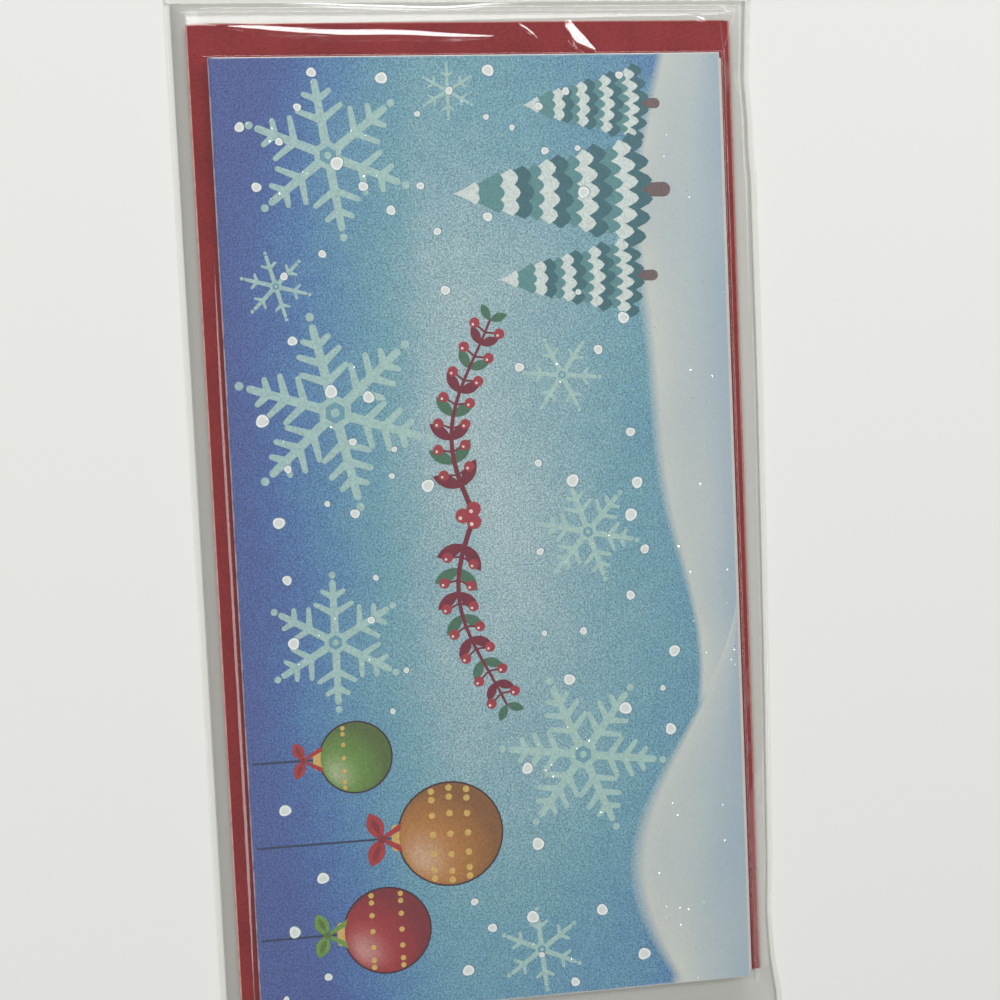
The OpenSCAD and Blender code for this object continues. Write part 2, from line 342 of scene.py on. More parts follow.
def ink_finish(name, through, uneven, glitter, roughness, soft=False):
    """Opaque or thin ink. through is the share of the wash that shows, uneven how its tone varies, and
    glitter the share of bright flakes. Soft ink thins out to the wash where its alpha falls."""
    made, tree = new_material(name)
    place = place_in_mm(tree)
    laid = add(tree, "ShaderNodeAttribute", attribute_name="ink").outputs
    patchy = grains(tree, place, 0.4, detail=3)
    tone = add(tree, "ShaderNodeMapRange", {0: patchy, 3: 1 - uneven, 4: 1 + uneven}).outputs[0]
    ink = add(tree, "ShaderNodeVectorMath", {0: laid["Color"], "Scale": tone}, operation="SCALE").outputs[0]
    if soft:
        share = add(tree, "ShaderNodeMath", {0: 1.0, 1: laid["Alpha"]}, operation="SUBTRACT").outputs[0]
    elif through:
        thin = grains(tree, place, 0.7, detail=3)
        share = add(tree, "ShaderNodeMapRange", {0: thin, 3: through * 0.4, 4: through * 1.6}).outputs[0]
    if soft or through:
        ink = add(tree, "ShaderNodeMix", {0: share, 6: ink, 7: watercolour(tree, place)},
                  data_type="RGBA").outputs[2]
    normal = tooth(tree, place, 0.12)
    shine = {"Roughness": roughness}
    if glitter:
        # Flakes of glitter 0.2 mm across lie tilted in clear varnish
        cell = add(tree, "ShaderNodeTexVoronoi", {"Vector": place, "Scale": 1 / 0.2}).outputs["Color"]
        bright, _, _ = add(tree, "ShaderNodeSeparateXYZ", {0: cell}).outputs
        flake = add(tree, "ShaderNodeMath", {0: bright, 1: 1 - glitter}, operation="GREATER_THAN").outputs[0]
        level = (0.5, 0.5, 0.5)
        lean = add(tree, "ShaderNodeVectorMath", {0: cell, 1: level}, operation="SUBTRACT").outputs[0]
        lean = add(tree, "ShaderNodeVectorMath", {0: lean, "Scale": flake}, operation="SCALE").outputs[0]
        lean = add(tree, "ShaderNodeVectorMath", {0: lean, 1: normal}).outputs[0]
        normal = add(tree, "ShaderNodeVectorMath", {0: lean}, operation="NORMALIZE").outputs[0]
        silver = linear("#eef4f2")
        ink = add(tree, "ShaderNodeMix", {0: flake, 6: ink, 7: silver}, data_type="RGBA").outputs[2]
        smooth = add(tree, "ShaderNodeMapRange", {0: flake, 3: roughness, 4: 0.16}).outputs[0]
        metal = add(tree, "ShaderNodeMath", {0: flake, 1: 0.8}, operation="MULTIPLY").outputs[0]
        shine = {"Roughness": smooth, "Metallic": metal}
    surface = add(tree, "ShaderNodeBsdfPrincipled", {"Base Color": ink, "Normal": normal, **shine})
    add(tree, "ShaderNodeOutputMaterial", {0: surface.outputs[0]})
    return made


# Opaque ink looks flat and slightly uneven. Thin ink lets some of the wash through and has a little glitter.
# Snow ink is soft and pale, and its drifts melt into the wash along their crests.
gouache = ink_finish("printed_opaque_ink", 0, 0.13, 0, 0.5)
thin_ink = ink_finish("printed_thin_ink", 0.13, 0.13, 0.004, 0.5)
snow_ink = ink_finish("printed_snow_ink", 0, 0.035, 0.0012, 0.55, soft=True)


def print_plates(name, bm, finish):
    """Closes a set of ink plates and fixes them to the front."""
    bmesh.ops.recalc_face_normals(bm, faces=bm.faces)
    bmesh.ops.triangulate(bm, faces=bm.faces)
    made = make_piece(name, bm, [finish])
    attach(made, "cover")


def lay_drift(bm, first, last, crest, height):
    """A snow drift from the free edge up to its crest, pale along the crest and blue below. Its crest
    fades into the wash, but not into a drift behind it."""
    layer = bm.verts.layers.float_color["ink"]
    foot = free_edge + cut_lip
    made = bmesh.ops.create_grid(bm, x_segments=110, y_segments=14, size=0.5)["verts"]
    for v in made:
        s, t = v.co.x + 0.5, v.co.y + 0.5
        x = first + s * (last - first)
        y = foot + t * max(0.0, crest(x) - foot)
        v.co = (x * mm, y * mm, (front_top + height) * mm)
        soft = 0.5 + 0.5 * noise.noise((x / 16, y / 9, height * 90))
        tone = blend_colour(snow_blue, snow_light, min(1, t ** 1.6 * 0.75 + soft * 0.45))
        tone = blend_colour(tone, snow_deep, max(0, 0.35 - t) * 0.9)
        fade = min(1, max(0, (crest(x) - far_crest(x)) / 1.5 + 1)) * max(0, 1 - (1 - t) * 7)
        v[layer] = (*tone[:3], 1 - fade)
    faces = list({f for v in made for f in v.link_faces})
    raised = bmesh.ops.extrude_face_region(bm, geom=faces)["geom"]
    lower = [g for g in raised if isinstance(g, bmesh.types.BMVert)]
    bmesh.ops.translate(bm, vec=(0, 0, -(height + ink_sink) * mm), verts=lower)


def far_crest(x):
    """The far drift's crest line."""
    return -31.5 + 4.2 * math.sin((x - 8) / 23) + 1.1 * math.sin(x / 9 + 1)


def near_crest(x):
    """The near drift's crest line, highest at the left."""
    return -46 + 23 * math.exp(-((x + 64) / 34) ** 2) + 1.0 * math.sin(x / 11)


inner_end = half_length - cut_lip
bm = new_plates()
lay_drift(bm, -inner_end, inner_end, far_crest, 0.010)
print_plates("print_far_drift", bm, snow_ink)
bm = new_plates()
lay_drift(bm, -inner_end, -12, near_crest, 0.022)
print_plates("print_near_drift", bm, snow_ink)

# Fir trees stand on the far drift at the right: four tiers of boughs, each with snow on it
bough_dark = linear("#3f6d77")
bough_light = linear("#5d8f92")
bark = linear("#6f5f60")
snow_cap = linear("#cfd9d6")
tiers = 4
bough_layers = ((0, 1, bough_dark), (0.17, 0.88, snow_cap), (0.36, 0.76, bough_light))


def bough(x, top, foot, half, scallops, rise=0.0):
    """The outline of one tier of boughs, with a scalloped lower edge."""
    sides = 6
    right = [(x + half * t ** 1.35, top + (foot - top) * t) for t in [i / sides for i in range(sides + 1)]]
    lower = []
    for i in range(1, scallops * 4):
        t = i / (scallops * 4)
        dip = abs(math.sin(math.pi * scallops * t)) * half * 0.22
        sag = math.sin(math.pi * t) * half * 0.2
        lower.append((x + half * (1 - 2 * t), foot - dip - sag + rise * math.sin(math.pi * t)))
    left = [(2 * x - px, py) for px, py in reversed(right[1:])]
    return right + lower + left


def lay_tree(bm, x, foot, tall, wide, over):
    """One fir: tiers of boughs from the ground up, each with a line of snow along it."""
    lay_ink(bm, dab((x, foot - 0.5), (x, foot + tall * 0.25), wide * 0.13, wide * 0.1), over, bark)
    for i in reversed(range(tiers)):
        top = foot + tall * (1 - 0.19 * i)
        low = foot + tall * (0.66 - 0.17 * i)
        half = wide / 2 * (0.46 + 0.18 * i)
        over += 0.006
        for share, across, colour in bough_layers:
            edge = low + (top - low) * share
            tier = bough(x, top, edge, half * across, 3 + i, half * 0.14 * share)
            lay_ink(bm, tier, over + share * 0.01, colour)
    lay_ink(bm, bough(x, top, top - tall * 0.11, wide * 0.1, 2), over + 0.005, snow_cap)


bm = new_plates()
for x, foot, tall, wide, over in (
        (45, -30.5, 27, 15, 0.012), (60, -33, 37, 20, 0.016), (75, -32, 23, 14, 0.014)):
    lay_tree(bm, x, foot, tall, wide, over)
print_plates("print_fir_trees", bm, gouache)

# Flakes: six arms with side branches at 60 degrees, as ice grows
ice = linear("#abc9c2")
ice_dark = linear("#6f9fae")
flake_ink = 0.026


def lay_flake(bm, x, y, reach, turn, branches, bar):
    """One flake. branches lists where along an arm its side branches start, and their length."""
    centre = (x, y)
    for arm in range(6):
        lean = math.radians(turn + 60 * arm)
        tip = polar(centre, lean, reach)
        for start, length in branches:
            root = polar(centre, lean, reach * start)
            for side in (-1, 1):
                end = polar(root, lean + side * math.pi / 3, reach * length)
                lay_ink(bm, dab(root, end, reach * bar * 0.8, reach * bar * 0.55), flake_ink, ice)
        lay_ink(bm, dab(centre, tip, reach * bar, reach * bar * 0.75), 0.028 + 0.0015 * arm, ice)
        lay_ink(bm, disc(*polar(centre, lean, reach * 1.13), reach * bar * 0.42, 12), flake_ink, ice)
    lay_ink(bm, disc(x, y, reach * 0.21, 6), 0.040, ice)
    lay_ink(bm, disc(x, y, reach * 0.125, 6), 0.042, ice_dark)
    lay_ink(bm, disc(x, y, reach * 0.05, 12), 0.044, ice)


fern = ((0.36, 0.30), (0.58, 0.27), (0.79, 0.17))
star = ((0.48, 0.34), (0.76, 0.2))
plain = ((0.62, 0.26),)
bm = new_plates()
for x, y, reach, turn, branches, bar in (
        (23, 26, 15, 12, fern, 0.12), (-17, 28, 10.5, 0, star, 0.14), (-40, -15, 13, 22, fern, 0.12),
        (67, 25, 12.5, 8, star, 0.13), (45, 35, 5.2, 15, plain, 0.15), (-75, -6, 6.6, 5, plain, 0.15),
        (28, -14, 6, 25, plain, 0.15), (0, -17.5, 8, 18, star, 0.14), (77.6, 4, 4.2, 0, plain, 0.15)):
    lay_flake(bm, x, y, reach, turn, branches, bar)
print_plates("print_flakes", bm, thin_ink)

# Glass balls hang from the fold on dark threads, each with a cap and a bow
thread = linear("#2f3d55")
ball_red = linear("#a9353a")
ball_green = linear("#6d9647")
ball_gold = linear("#b9803f")
cap_gold = linear("#cfae63")
ball_dark = linear("#3a2430")
ball_light = linear("#e6d9cf")


def lay_ball(bm, x, y, radius, colour, bands):
    """A glass ball, shaded round, with painted bands and a highlight."""
    layer = bm.verts.layers.float_color["ink"]
    lay_ink(bm, dab((x, y + radius), (x, card_high.y / mm - 0.2), 0.34, 0.34), 0.030, thread)
    lay_ink(bm, disc(x, y, radius + 0.28, 40), 0.031, ball_dark)
    rings = bmesh.ops.create_uvsphere(bm, u_segments=40, v_segments=20, radius=radius)["verts"]
    light = Vector((-0.45, 0.55, 0.7)).normalized()
    for v in rings:
        facing = max(0.0, v.co.normalized().dot(light))
        shaded = blend_colour(ball_dark, colour, 0.45 + 0.55 * facing)
        v[layer] = blend_colour(shaded, ball_light, facing ** 10 * 0.35)
        v.co = ((x + v.co.x) * mm, (y + v.co.y) * mm, (front_top + 0.034 + 0.02 * v.co.z / radius) * mm)
    for i in range(bands):
        across = y + radius * (0.34 - 0.68 * i / max(1, bands - 1))
        half = math.sqrt(radius ** 2 - (across - y) ** 2) * 0.93
        for k in range(-3, 4):
            spot = disc(x + half * math.sin(k / 3 * 1.35), across, radius * 0.065, 10)
            lay_ink(bm, spot, 0.058, cap_gold)
    lay_ink(bm, dab((x - radius * 0.18, y + radius + 0.5), (x + radius * 0.18, y + radius + 0.5), 1.5, 1.5),
            0.036, cap_gold)


def lay_bow(bm, x, y, size, colour):
    """A ribbon bow with two loops and two tails."""
    shade = blend_colour(colour, ball_dark, 0.45)
    for side in (-1, 1):
        lay_ink(bm, leaf((x, y), (x + side * size, y + size * 0.42), size * 0.62), 0.040, colour)
        lay_ink(bm, leaf((x + side * size * 0.2, y + size * 0.06), (x + side * size * 0.8, y + size * 0.34),
                         size * 0.24), 0.042, shade)
        tail = dab((x, y), (x + side * size * 0.55, y - size * 0.95), size * 0.14, size * 0.26)
        lay_ink(bm, tail, 0.038, colour)
    lay_ink(bm, disc(x, y, size * 0.17, 14), 0.044, shade)


bm = new_plates()
for x, y, radius, colour, bands, bow in (
        (-69, 21.5, 7.6, ball_red, 2, ball_green), (-52.5, 9.5, 9.2, ball_gold, 3, ball_red),
        (-37.5, 25.5, 6.2, ball_green, 1, ball_red)):
    lay_ball(bm, x, y, radius, colour, bands)
    lay_bow(bm, x, y + radius + 3.0, radius * 0.52, bow)
print_plates("print_glass_balls", bm, gouache)

# A berry twig lies across the middle in dark red, in two mirrored halves
twig_red = linear("#76263a")
berry_red = linear("#a23a46")
leaf_green = linear("#49725c")


def lay_twig(bm, x, y, length, side):
    """Half a twig: a curved stem with paired leaves and berries."""
    steps = 16
    line = []
    for t in [i / steps for i in range(steps + 1)]:
        line.append((x + side * length * t, y + 3.4 * math.sin(math.pi * 1.25 * t) - 2.2 * t ** 2))
    for i, (a, b) in enumerate(zip(line, line[1:])):
        lean = math.atan2(b[1] - a[1], b[0] - a[0])
        lay_ink(bm, dab(a, b, 0.95 - 0.035 * i, 0.9 - 0.035 * i), 0.030 + 0.0004 * i, twig_red)
        if i % 2:
            for up in (-1, 1):
                away = lean + up * side * 0.85
                end = polar(b, away, 5.6 - 0.16 * i)
                lay_ink(bm, leaf(b, end, 2.3 - 0.05 * i), 0.026, twig_red if i % 4 == 1 else leaf_green)
        elif i:
            for up in (-1, 1):
                stalk = polar(b, lean + up * 1.25, 2.5)
                lay_ink(bm, dab(b, stalk, 0.35, 0.35), 0.028, twig_red)
                lay_ink(bm, disc(*stalk, 0.92, 16), 0.038, berry_red)
                lay_ink(bm, disc(stalk[0] - 0.28, stalk[1] + 0.3, 0.24, 8), 0.040, ball_light)


bm = new_plates()
for side in (-1, 1):
    lay_twig(bm, 4 + side * 1.0, 3, 33, side)
for i in range(3):
    spot = polar((4, 3.4), math.radians(90 + 120 * i), 1.3)
    lay_ink(bm, disc(*spot, 1.3, 20), 0.044 + 0.002 * i, berry_red)
    lay_ink(bm, disc(spot[0] - 0.4, spot[1] + 0.45, 0.34, 10), 0.046 + 0.002 * i, ball_light)
print_plates("print_berry_twig", bm, gouache)

# Falling snow: round dots of 1 to 2.2 mm, each a pale rim round a greyer middle, with a thin dark edge drawn
# heavier on one side as a painted shadow
dot_pale = linear("#edf1ef")
dot_grey = linear("#dadfdc")
dot_shadow_edge = linear("#64879b")
kept_clear = [(-69, 21.5, 10), (-52.5, 9.5, 12), (-37.5, 25.5, 9)]
kept_clear += [(x, 2.5, 7) for x in range(-28, 37, 8)]
picks = random.Random(7)
dots = []
dot_count = 78
while len(dots) < dot_count:
    x = picks.uniform(-inner_end + 1.4, inner_end - 1.4)
    y = picks.uniform(free_edge + 1.6, fold_edge - 2.2)
    radius = picks.choice((0.5, 0.65, 0.8, 1.0, 1.1))
    near = [math.hypot(x - a, y - b) < r + radius for a, b, r in kept_clear]
    near += [y < crest(x) + radius + 0.6 for crest in (far_crest, near_crest)]
    near += [math.hypot(x - a, y - b) < 3.6 + r + radius for a, b, r in dots]
    if not any(near):
        dots.append((x, y, radius))
bm = new_plates()
for x, y, radius in dots:
    # A dark ring set off to one side: an outline and a painted shadow of a raised dot
    lay_ink(bm, disc(x + 0.05, y - 0.05, radius + 0.1, 20, 0.05), 0.048, dot_shadow_edge)
    lay_ink(bm, disc(x, y, radius, 20, 0.05), 0.050, dot_pale)
    lay_ink(bm, disc(x, y, radius * 0.66, 16, 0.05), 0.052, dot_grey)
print_plates("print_snowfall", bm, snow_ink)


# The holder's back and pocket
# The back, the spine, the pocket and its two gussets are the same sheet, left bare and white.
# Two lines of dried glue hold the gussets down.
def finish_node(name, material):
    """Gives a CAD node its finish."""
    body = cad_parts[name]
    body.data.materials.clear()
    body.data.materials.append(material)


glue, tree = new_material("dried_white_glue")
place = place_in_mm(tree)
film_of_glue = grains(tree, place, 1.6, detail=2)
tint = add(tree, "ShaderNodeMix", {0: film_of_glue, 6: linear("#c9c1ab"), 7: linear("#ddd8c9")},
           data_type="RGBA")
surface = add(tree, "ShaderNodeBsdfPrincipled", {
    "Base Color": tint.outputs[2], "Roughness": 0.35, "Normal": tooth(tree, place, 0.4)})
add(tree, "ShaderNodeOutputMaterial", {0: surface.outputs[0]})
for name in ("back_panel", "pocket_fold", "pocket_panel", "pocket_gusset_left", "pocket_gusset_right"):
    finish_node(name, bare_card)
finish_node("gusset_glue", glue)


# The envelope
# One sheet of dyed red paper, cut, folded and glued. Its fibres make a fine dark and light grain,
# and every crease is painted pale: partly worn dye, partly a painted highlight where the fold catches the
# light.
red_deep = "#76191d"
red_light = "#9b2d31"
# Pale crease colour: dye worn off the fold, and a painted highlight on it
red_rubbed_and_lit = "#dca79d"


def red_sheet(name, rub):
    """Dyed paper. rub, from 0 to 1, is how pale its creases are painted: partly worn dye, partly a painted
    highlight on the fold.
    """
    made, tree = new_material(name)
    place = place_in_mm(tree)
    fibre = add(tree, "ShaderNodeMapping", {"Vector": place, "Scale": (1.0, 0.45, 1.0)}).outputs[0]
    grain = grains(tree, fibre, 0.32, detail=3, low=0.3, high=0.7)
    cloud = grains(tree, place, 9, detail=2, low=0.3, high=0.7)
    share = add(tree, "ShaderNodeMath", {0: cloud, 1: 0.35, 2: 0.0}, operation="MULTIPLY_ADD").outputs[0]
    share = add(tree, "ShaderNodeMath", {0: grain, 1: 0.65, 2: share}, operation="MULTIPLY_ADD").outputs[0]
    dye = add(tree, "ShaderNodeMix", {0: share, 6: linear(red_deep), 7: linear(red_light)},
              data_type="RGBA").outputs[2]
    # Pale patches along the creases: worn dye, and a painted highlight standing in for the lit fold
    if rub:
        worn = add(tree, "ShaderNodeMapRange", {
            0: grains(tree, place, 1.1, detail=3, low=0.25, high=0.6), 3: rub * 0.5, 4: rub}).outputs[0]
        dye = add(tree, "ShaderNodeMix", {0: worn, 6: dye, 7: linear(red_rubbed_and_lit)},
                  data_type="RGBA").outputs[2]
    surface = add(tree, "ShaderNodeBsdfPrincipled", {
        "Base Color": dye, "Roughness": 0.75, "Specular IOR Level": 0.2,
        "Normal": tooth(tree, place, 0.35)})
    add(tree, "ShaderNodeOutputMaterial", {0: surface.outputs[0]})
    return made


# The dye is deep and matt on the flat sheets. The long crease is painted pale all along and the end creases
# half as much: partly worn dye, partly a painted highlight where the folds catch the light.
red_paper = red_sheet("dyed_red_paper", 0)
creased_lit_paper = red_sheet("creased_red_paper_painted_highlight", 1)
end_crease_lit_paper = red_sheet("end_crease_red_paper_painted_highlight", 0.6)
for name in ("envelope_face", "envelope_back", "envelope_left_flap", "envelope_right_flap", "seal_flap"):
    finish_node(name, red_paper)
finish_node("envelope_back_fold", creased_lit_paper)
finish_node("envelope_left_fold", end_crease_lit_paper)
finish_node("envelope_right_fold", end_crease_lit_paper)
finish_node("envelope_seam_glue", glue)

# The seal flap's crease, rolled round in half a tube
seal_low, seal_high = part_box("seal_flap_fold")
face_low, face_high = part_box("envelope_face")
seal_crest = (seal_high.z - seal_low.z) / 2
seal_wall = face_high.z - face_low.z
bm = rolled_crease(seal_low.x, seal_high.x - seal_low.x, seal_high.y, seal_low.z, seal_crest, -1, seal_wall)
# The seal crease is painted pale too: worn dye and a painted highlight
seal_crease = make_piece("rolled_seal_crease", bm, [end_crease_lit_paper], smooth=True)
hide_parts("seal_flap_fold")
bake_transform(seal_crease)

# Gum is brushed on along the flap and dries to a hard shine
gum, tree = new_material("dried_gum")
place = place_in_mm(tree)
streak = add(tree, "ShaderNodeMapping", {"Vector": place, "Scale": (0.15, 1.0, 1.0)}).outputs[0]
flow = grains(tree, streak, 1.2, detail=2)
tint = add(tree, "ShaderNodeMix", {0: flow, 6: linear("#86383a"), 7: linear("#a4544f")}, data_type="RGBA")
surface = add(tree, "ShaderNodeBsdfPrincipled", {
    "Base Color": tint.outputs[2], "Roughness": 0.16, "Normal": tooth(tree, streak, 0.3)})
add(tree, "ShaderNodeOutputMaterial", {0: surface.outputs[0]})
finish_node("seal_gum", gum)


# The film sleeve
# One piece of clear polypropylene, 0.05 mm thick, folded at the closed end and welded down both sides.
# It hangs from the card to the envelope and down to the welds, and its creases catch the light.
film = 0.05
sleeve_low, sleeve_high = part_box("sleeve_back_film")
closed_end = sleeve_low.x / mm
mouth = sleeve_high.x / mm
side_edge = sleeve_high.y / mm
weld = 1.0
card_side = 45.3
# The film's heights: at the welds, and taut over the card
lying = 0.125
taut = 3.215


def free_weld(x):
    """How far the free side's edge lies from the middle. The film is drawn in towards its closed end."""
    return np.interp(x, [-93, -88, -82, -73.5, -63, -33, -3, 24, 63, 65, 73, 80, 93.5],
                     [51.5, 51.2, 50.2, 49.7, 50.2, 50.8, 51.2, 51.5, 51.5, 51.2, 51.1, 50.6, 51.5])


def ripple(x, y, size, seed):
    """Soft noise over arrays of points, between -1 and 1."""
    flat = [noise.noise((a / size, b / size, seed)) for a, b in zip(x.ravel(), y.ravel())]
    return np.array(flat).reshape(x.shape)


# Each crease: points along its foot, how steeply its face rises from there, how wide that face is, and
# how wide the drop behind it. A face that adds 0.15 to the film's fall to the mouth mirrors the strip lamp.
creases = [
    ([(89.8, 44), (89.4, 35.4), (88.9, 28.7), (88.5, 21),
      (88.5, 15.4), (88.3, 9.8), (87.7, 3), (87.1, -5.2)], 0.15, 1.15, 1.4),
    ([(93.5, 34.5), (93.5, 28.4), (93.2, 20.8), (92.9, 11.4),
      (92.6, 5), (92.8, 1), (93.1, -2.5), (93.5, -12)], 0.17, 0.45, 0.6),
    ([(90.1, -8.4), (89.2, -9.6), (88.7, -10.4),
      (87.6, -11.6), (85.9, -12.8), (84.5, -13.3)], 0.21, 0.45, 0.3),
    ([(90.1, -18.2), (87.4, -20.2), (84.3, -22.6)], 0.2, 2.3, 0.6),
    ([(88.8, 44), (88.9, 30), (89.1, 8)], 0.15, 0.2, 0.15),
    ([(81.1, -25), (84.5, -32.3), (87.2, -39.6), (89.6, -47)], 0.1, 0.25, 0.3),
    ([(86.7, 43.9), (84.6, 41.5)], 0.17, 0.3, 0.2),
    ([(93.3, -44.6), (92, -47.3), (90.9, -49.5)], 0.4, 0.5, 0.4),
    ([(91.1, -40.5), (90.4, -41.7), (89.8, -42.8)], 0.2, 0.6, 0.4),
]


def crease_lift(x, y):
    """How far the creases lift the film at these points."""
    lift = np.zeros_like(x)
    for points, slope, face, drop in creases:
        gap = np.full_like(x, 1e9)
        side = np.zeros_like(x)
        along = np.zeros_like(x)
        runs = [math.dist(a, b) for a, b in zip(points, points[1:])]
        passed = 0
        for (ax, ay), (bx, by), run in zip(points, points[1:], runs):
            ux, uy = (bx - ax) / run, (by - ay) / run
            t = np.clip((x - ax) * ux + (y - ay) * uy, 0, run)
            off_x, off_y = x - ax - t * ux, y - ay - t * uy
            reach = np.hypot(off_x, off_y)
            closer = reach < gap
            gap = np.where(closer, reach, gap)
            side = np.where(closer, uy * off_x - ux * off_y, side)
            along = np.where(closer, (passed + t) / sum(runs), along)
            passed += run
        wide = face * np.sqrt(np.sin(np.pi * np.clip(along, 0.001, 0.999)))
        rising = np.where(side > 0, gap, -gap)
        falling = (wide * (1 + drop / face) - rising) * face / drop
        lift = np.maximum(lift, slope * np.minimum(rising, falling))
    return lift


past_card = 84
steep_start = 91.1
steep_run = 0.7


def fall_to_mouth(x, y):
    """The film's fall from the card to its mouth: an even slope, a flatter band and a short steep lip."""
    flatter = 89.3 + 0.0145 * (44 - y)
    heights = taut - 0.249 * np.clip(x - past_card, 0, flatter - past_card)
    heights -= 0.1 * np.clip(x - past_card + 0.2, 0, 0.3)
    heights -= 0.10 * np.clip(x - flatter, 0, steep_start - flatter)
    heights -= 0.75 * np.clip(x - steep_start, 0, steep_run)
    return heights - 0.22 * np.clip(x - steep_start - steep_run, 0, None)


def film_height(x, y):
    """The front film's height: taut over the card, and sagging to the envelope and the welds round it."""
    far = np.where(y > 0, side_edge, free_weld(x))
    over = (np.abs(y) - card_side) / (far - weld - card_side)
    by_side = np.interp(over, [0, 1], [taut, lying])
    by_end = np.interp(x, [closed_end + 1, -90, -87, -84.6], [lying, 0.9, 2.3, taut])
    base = np.minimum(by_side, np.minimum(fall_to_mouth(x, y), by_end))
    slack = np.clip((3.2 - base) / 0.8, 0, 1)
    loose = np.clip((base - lying) * 2, 0, 1)
    still = np.clip((past_card - x) / 3, 0, 1) * 0.8 + 0.2
    wander = 0.10 * slack * ripple(x, y, 7, 3) + 0.045 * ripple(x, y, 2.2, 9) * slack
    over_card = 0.02 * (1 + ripple(x, y, 22, 5)) * (1 - slack)
    return np.minimum(taut, base + loose * (wander * still + crease_lift(x, y))) + over_card


def stops_between(*spans):
    """Grid lines: each span gives its start, its end and how many steps it is cut in."""
    lines = [np.linspace(a, b, n, endpoint=False) for a, b, n in spans]
    return np.append(np.concatenate(lines), spans[-1][1])


def film_grid(name, along, across, height, thick=film):
    """A sheet of film over a grid of lines. On the free side it follows that side's edge."""
    bm = bmesh.new()
    bmesh.ops.create_grid(bm, x_segments=len(along) - 1, y_segments=len(across) - 1, size=1)
    verts = sorted(bm.verts, key=lambda v: (round(v.co.x, 6), round(v.co.y, 6)))
    x, y = np.meshgrid(along, across, indexing="ij")
    drawn_in = (free_weld(x) - card_side) / (side_edge - card_side)
    y = np.where(y < -card_side, -card_side + (y + card_side) * drawn_in, y)
    z = height(x, y)
    for v, px, py, pz in zip(verts, x.ravel(), y.ravel(), z.ravel()):
        v.co = (px * mm, py * mm, pz * mm)
    bmesh.ops.recalc_face_normals(bm, faces=bm.faces)
    made = make_piece(name, bm, [clear_film], smooth=True)
    made.modifiers.new("thickness", "SOLIDIFY").thickness = thick * mm
    made.modifiers["thickness"].offset = 0
    return made


# Clear film: it hides nothing, mirrors the lamps like polished plastic, and has a faint milky haze
clear_film, tree = new_material("clear_polypropylene_film")
place = place_in_mm(tree)
drawn = add(tree, "ShaderNodeTexNoise", {"Vector": place, "Scale": 1 / 3.0, "Detail": 2}).outputs[0]
pull = add(tree, "ShaderNodeBump", {"Strength": 0.25, "Distance": 0.03 * mm, "Height": drawn}).outputs[0]
mirror = add(tree, "ShaderNodeBsdfAnisotropic", {"Color": (1, 1, 1, 1), "Roughness": 0.07, "Normal": pull})
clear = add(tree, "ShaderNodeBsdfTransparent", {"Color": (0.99, 0.99, 0.985, 1)})
milk = add(tree, "ShaderNodeBsdfDiffuse", {"Color": linear("#e9e9e6")})
hazy = add(tree, "ShaderNodeMixShader", {0: 0.004, 1: clear.outputs[0], 2: milk.outputs[0]})
# At IOR 1.49 it mirrors 4% of what meets it head on and nearly all that grazes it
slant = add(tree, "ShaderNodeLayerWeight", {"Blend": 0.5}).outputs["Facing"]
slant = add(tree, "ShaderNodeMath", {0: slant, 1: 5.0}, operation="POWER").outputs[0]
bounce = add(tree, "ShaderNodeMapRange", {0: slant, 3: 0.04, 4: 1}).outputs[0]
surface = add(tree, "ShaderNodeMixShader", {0: bounce, 1: hazy.outputs[0], 2: mirror.outputs[0]})
add(tree, "ShaderNodeOutputMaterial", {0: surface.outputs[0]})

weld_line = side_edge - weld
along = stops_between((closed_end, -84, 24), (-84, 83, 90), (83, mouth, 90))
across = stops_between((-card_side, -26, 36), (-26, -7, 80), (-7, 42, 95),
                       (42, card_side, 6), (card_side, weld_line, 22))
front_film = film_grid("sleeve_front_sheet", along, across, film_height)
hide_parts("sleeve_front_film")
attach(front_film, "sleeve")
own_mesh(front_film)

along = stops_between((closed_end, -84, 30), (-84, 83, 240), (83, mouth, 60))
across = stops_between((-weld_line, -card_side, 22))
side_film = film_grid("sleeve_front_side_strip", along, across, film_height)
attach(side_film, "sleeve")
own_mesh(side_film)


def resting(x, y):
    """The back film lies flat on what the set stands on."""
    return np.full_like(x, film / 2)


along = stops_between((closed_end, mouth, 160))
across = stops_between((-weld_line, -card_side, 4), (-card_side, weld_line, 12))
back_film = film_grid("sleeve_back_sheet", along, across, resting)
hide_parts("sleeve_back_film")
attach(back_film, "sleeve")
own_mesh(back_film)

# A hot wire welds each side and cuts it free in one pass, which leaves a thin bead along the edge
weld_thick = 0.15
bead = 0.2


def weld_height(x, y):
    """A weld's middle height: flat, with the bead near its outer edge and puckers along it."""
    far = np.where(y > 0, side_edge, free_weld(x))
    rise = 0.09 * np.exp(-((far - bead - np.abs(y)) / (bead / 2)) ** 2)
    pucker = 0.05 * (1 + ripple(x, y * 0, 1.7, 4)) * np.clip((far - np.abs(y)) * 2, 0, 1)
    return weld_thick / 2 + rise + pucker


along = stops_between((closed_end, mouth, 560))
fold_weld = film_grid("sleeve_fold_side_weld", along, stops_between((weld_line, side_edge, 14)),
                      weld_height, weld_thick)
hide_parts("sleeve_top_seal")
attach(fold_weld, "sleeve")
edge_weld = film_grid("sleeve_free_side_weld", along, stops_between((-side_edge, -weld_line, 14)),
                      weld_height, weld_thick)
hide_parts("sleeve_bottom_seal")
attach(edge_weld, "sleeve")
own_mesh(edge_weld)
finish_node("sleeve_end_fold", clear_film)

# The lip runs on from the back film past the mouth. Its free corners are cut round.
_, lip_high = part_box("sleeve_lip")
lip_end = lip_high.x / mm
lip_corner = 6
wave_end = 107


